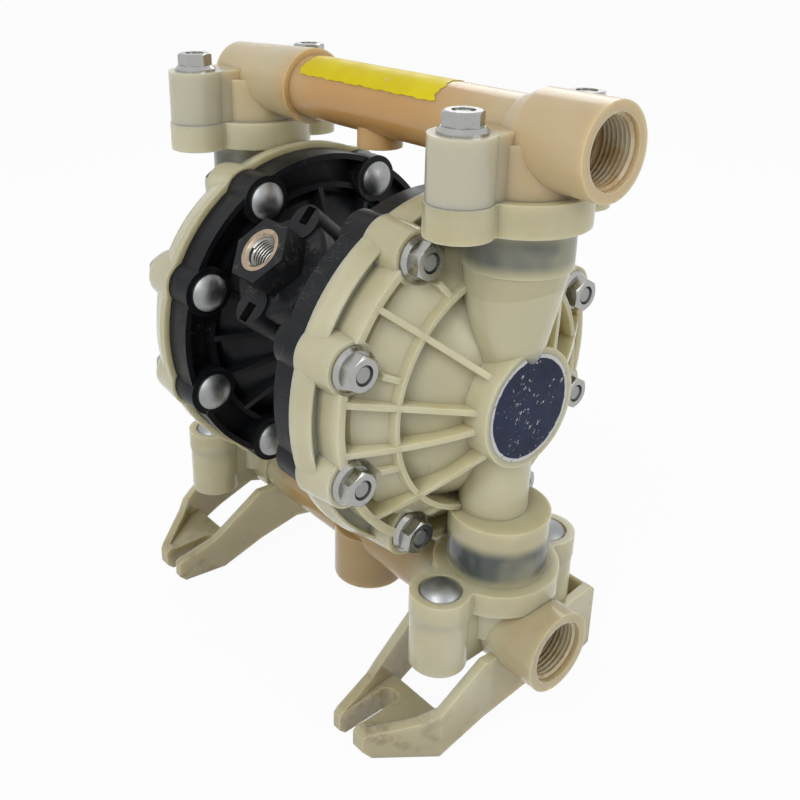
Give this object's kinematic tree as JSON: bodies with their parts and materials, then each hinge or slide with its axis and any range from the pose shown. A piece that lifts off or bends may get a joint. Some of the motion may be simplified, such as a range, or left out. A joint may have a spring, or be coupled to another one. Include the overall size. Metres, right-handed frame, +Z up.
{
  "type": "air operated diaphragm pump",
  "caption": "Compact double diaphragm pump with translucent ribbed plastic covers, a black air housing, ball checks and two threaded manifolds on slotted feet.",
  "frame": {"origin": "on the floor, at the centre of the four foot slots", "axes": "+Z up; +X along the diaphragm shaft towards the two threaded fluid ports; -Y towards the side with the air inlet"},
  "size_m": [0.2315, 0.1536, 0.2615],
  "materials": {
    "cover_plastic": "translucent natural polypropylene, yellowed",
    "outlet_plastic": "translucent natural polypropylene, stained orange",
    "inlet_plastic": "translucent natural polypropylene, stained and scuffed",
    "housing_plastic": "black glass-filled polypropylene, satin",
    "bushing_plastic": "acetal",
    "seat_plastic": "dark plastic",
    "plate_ceramic": "ceramic",
    "fastener_steel": "stainless steel",
    "shaft_steel": "ground stainless steel",
    "plate_aluminium": "cast",
    "insert_brass": "turned",
    "rubber": "moulded rubber",
    "ball_rubber": "moulded rubber",
    "label": "bare navy disc with a silver edge"
  },
  "bodies": {
    "pump_body": {"cover_bolts_right": "fastener_steel", "cover_bolts_left": "fastener_steel", "cover_nuts_right": "fastener_steel", "cover_nuts_left": "fastener_steel", "outlet_bolts": "fastener_steel", "outlet_nuts": "fastener_steel", "inlet_bolts": "fastener_steel", "inlet_nuts": "fastener_steel", "center_housing": "housing_plastic", "shaft_bushings": "bushing_plastic", "shaft_seals": "rubber", "pilot_bushings": "bushing_plastic", "air_inlet_insert": "insert_brass", "valve_plate": "plate_ceramic", "valve_cover_gasket": "rubber", "valve_cover": "housing_plastic", "valve_cover_screws": "fastener_steel", "diaphragm_right": "rubber", "diaphragm_left": "rubber", "fluid_cover_right": "cover_plastic", "fluid_cover_left": "cover_plastic", "label_plate_right": "label", "label_plate_left": "label", "outlet_seat_left": "seat_plastic", "outlet_seat_right": "seat_plastic", "inlet_seat_left": "seat_plastic", "inlet_seat_right": "seat_plastic", "joint_seals": "rubber", "outlet_manifold": "outlet_plastic", "inlet_manifold": "inlet_plastic"},
    "shaft": {"diaphragm_shaft": "shaft_steel", "shaft_bolts": "shaft_steel", "air_plate_right": "plate_aluminium", "air_plate_left": "plate_aluminium", "fluid_plate_right": "cover_plastic", "fluid_plate_left": "cover_plastic"},
    "carriage": {"valve_carriage": "housing_plastic", "valve_cup": "bushing_plastic"},
    "pin_right": {"pilot_pin_right": "shaft_steel"},
    "pin_left": {"pilot_pin_left": "shaft_steel"},
    "outlet_check_left": {"outlet_ball_left": "ball_rubber"},
    "outlet_check_right": {"outlet_ball_right": "ball_rubber"},
    "inlet_check_left": {"inlet_ball_left": "ball_rubber"},
    "inlet_check_right": {"inlet_ball_right": "ball_rubber"}
  },
  "joints": [
    {"name": "shaft_slide", "type": "slide", "parent": "pump_body", "child": "shaft", "axis": [1, 0, 0], "range_m": [-0.0075, 0.0075], "deforming": ["diaphragm_left", "diaphragm_right"]},
    {"name": "carriage_slide", "type": "slide", "parent": "pump_body", "child": "carriage", "axis": [1, 0, 0], "range_m": [-0.0035, 0.0035]},
    {"name": "pin_slide_right", "type": "slide", "parent": "pump_body", "child": "pin_right", "axis": [1, 0, 0], "range_m": [-0.0035, 0.0035]},
    {"name": "pin_slide_left", "type": "slide", "parent": "pump_body", "child": "pin_left", "axis": [1, 0, 0], "range_m": [-0.0035, 0.0035]},
    {"name": "outlet_ball_left_lift", "type": "slide", "parent": "pump_body", "child": "outlet_check_left", "axis": [0, 0, 1], "range_m": [0, 0.006]},
    {"name": "inlet_ball_left_lift", "type": "slide", "parent": "pump_body", "child": "inlet_check_left", "axis": [0, 0, 1], "range_m": [0, 0.006]},
    {"name": "outlet_ball_right_lift", "type": "slide", "parent": "pump_body", "child": "outlet_check_right", "axis": [0, 0, 1], "range_m": [0, 0.006]},
    {"name": "inlet_ball_right_lift", "type": "slide", "parent": "pump_body", "child": "inlet_check_right", "axis": [0, 0, 1], "range_m": [0, 0.006]}
  ],
  "couplings": [
    {"joint": "carriage_slide", "follows": "shaft_slide", "ratio": 0.46667},
    {"joint": "pin_slide_right", "follows": "shaft_slide", "ratio": 0.46667},
    {"joint": "pin_slide_left", "follows": "shaft_slide", "ratio": 0.46667}
  ]
}
